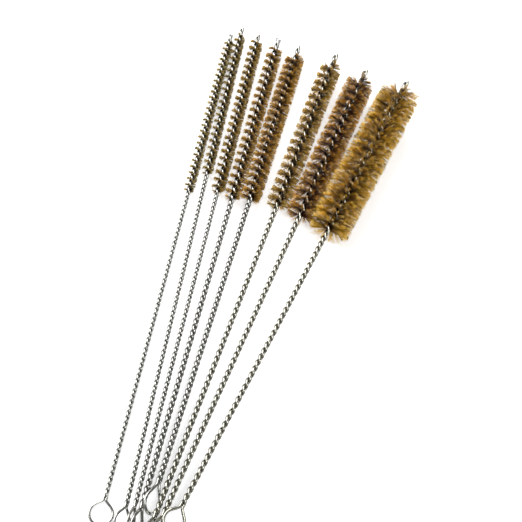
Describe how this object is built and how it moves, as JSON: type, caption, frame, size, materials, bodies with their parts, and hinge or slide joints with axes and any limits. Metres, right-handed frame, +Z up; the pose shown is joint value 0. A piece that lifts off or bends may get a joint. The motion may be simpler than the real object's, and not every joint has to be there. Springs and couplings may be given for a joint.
{
  "type": "twisted wire brass tube brush set",
  "caption": "Thin wire brushes with brass filament heads in graded diameters and folded wire rings, laid out as a fan, for cleaning bores and tips.",
  "frame": {"origin": "centre of the fan's box, on the surface that the brushes lie on", "axes": "+Y from the rings towards the brush tips, +Z up, +X towards the thickest brush"},
  "size_m": [0.117, 0.3025, 0.0271],
  "materials": {
    "wire": "bright galvanised wire, drawn smooth",
    "filament_1": "crimped fine drawn brass filament",
    "filament_2": "crimped fine drawn brass filament",
    "filament_3": "crimped fine drawn brass filament",
    "filament_4": "crimped fine drawn brass filament",
    "filament_5": "crimped fine drawn brass filament",
    "filament_6": "crimped fine drawn brass filament",
    "filament_7": "crimped fine drawn brass filament",
    "filament_8": "crimped fine drawn brass filament"
  },
  "bodies": {
    "brush_1": {"brush_1_wire": "wire", "brush_1_bristles": "filament_1"},
    "brush_2": {"brush_2_wire": "wire", "brush_2_bristles": "filament_2"},
    "brush_3": {"brush_3_wire": "wire", "brush_3_bristles": "filament_3"},
    "brush_4": {"brush_4_wire": "wire", "brush_4_bristles": "filament_4"},
    "brush_5": {"brush_5_wire": "wire", "brush_5_bristles": "filament_5"},
    "brush_6": {"brush_6_wire": "wire", "brush_6_bristles": "filament_6"},
    "brush_7": {"brush_7_wire": "wire", "brush_7_bristles": "filament_7"},
    "brush_8": {"brush_8_wire": "wire", "brush_8_bristles": "filament_8"}
  },
  "joints": [
    {"name": "brush_1_lift", "type": "slide", "parent": "brush_2", "child": "brush_1", "axis": [0, 0, 1], "range_m": [0, 0.04]},
    {"name": "brush_3_lift", "type": "slide", "parent": "brush_2", "child": "brush_3", "axis": [0, 0, 1], "range_m": [0, 0.04]},
    {"name": "brush_4_lift", "type": "slide", "parent": "brush_3", "child": "brush_4", "axis": [0, 0, 1], "range_m": [0, 0.04]},
    {"name": "brush_5_lift", "type": "slide", "parent": "brush_4", "child": "brush_5", "axis": [0, 0, 1], "range_m": [0, 0.04]},
    {"name": "brush_6_lift", "type": "slide", "parent": "brush_5", "child": "brush_6", "axis": [0, 0, 1], "range_m": [0, 0.04]},
    {"name": "brush_7_lift", "type": "slide", "parent": "brush_6", "child": "brush_7", "axis": [0, 0, 1], "range_m": [0, 0.04]},
    {"name": "brush_8_lift", "type": "slide", "parent": "brush_7", "child": "brush_8", "axis": [0, 0, 1], "range_m": [0, 0.04]}
  ]
}
